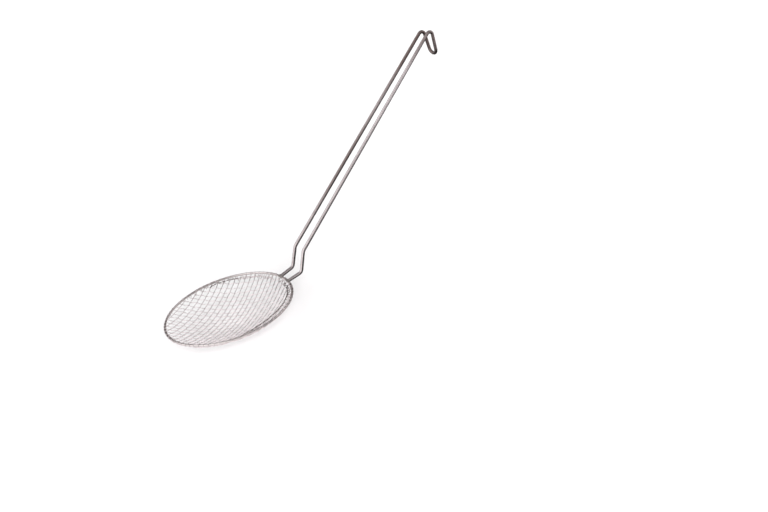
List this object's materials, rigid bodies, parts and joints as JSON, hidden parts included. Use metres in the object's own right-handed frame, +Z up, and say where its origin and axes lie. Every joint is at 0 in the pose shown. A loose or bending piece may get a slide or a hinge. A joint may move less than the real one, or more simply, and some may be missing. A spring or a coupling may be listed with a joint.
{
  "type": "spider skimmer",
  "caption": "Wire spider skimmer: a shallow round dish of woven wire in a wire hoop, on a long cranked wire handle that ends in a hanging hook.",
  "frame": {"origin": "lowest point of the dish, on the dish axis", "axes": "+X along the handle from the dish to the hook, +Z up out of the dish, rim plane level"},
  "size_m": [0.4316, 0.1608, 0.2333],
  "materials": {
    "handle_steel": "polished drawn steel wire",
    "rim_steel": "polished drawn steel wire",
    "mesh_steel": "bright drawn fine steel wire",
    "weld_steel": "dull weld metal"
  },
  "bodies": {
    "root": {"handle_wire": "handle_steel", "left_weld": "weld_steel", "right_weld": "weld_steel", "rim_ring": "rim_steel", "warp_wire_01": "mesh_steel", "warp_wire_02": "mesh_steel", "warp_wire_03": "mesh_steel", "warp_wire_04": "mesh_steel", "warp_wire_05": "mesh_steel", "warp_wire_06": "mesh_steel", "warp_wire_07": "mesh_steel", "warp_wire_08": "mesh_steel", "warp_wire_09": "mesh_steel", "warp_wire_10": "mesh_steel", "warp_wire_11": "mesh_steel", "warp_wire_12": "mesh_steel", "warp_wire_13": "mesh_steel", "warp_wire_14": "mesh_steel", "warp_wire_15": "mesh_steel", "warp_wire_16": "mesh_steel", "warp_wire_17": "mesh_steel", "warp_wire_18": "mesh_steel", "warp_wire_19": "mesh_steel", "warp_wire_20": "mesh_steel", "warp_wire_21": "mesh_steel", "warp_wire_22": "mesh_steel", "warp_wire_23": "mesh_steel", "warp_wire_24": "mesh_steel", "weft_wire_01": "mesh_steel", "weft_wire_02": "mesh_steel", "weft_wire_03": "mesh_steel", "weft_wire_04": "mesh_steel", "weft_wire_05": "mesh_steel", "weft_wire_06": "mesh_steel", "weft_wire_07": "mesh_steel", "weft_wire_08": "mesh_steel", "weft_wire_09": "mesh_steel", "weft_wire_10": "mesh_steel", "weft_wire_11": "mesh_steel", "weft_wire_12": "mesh_steel", "weft_wire_13": "mesh_steel", "weft_wire_14": "mesh_steel", "weft_wire_15": "mesh_steel", "weft_wire_16": "mesh_steel", "weft_wire_17": "mesh_steel", "weft_wire_18": "mesh_steel", "weft_wire_19": "mesh_steel", "weft_wire_20": "mesh_steel", "weft_wire_21": "mesh_steel", "weft_wire_22": "mesh_steel", "weft_wire_23": "mesh_steel"}
  },
  "joints": []
}
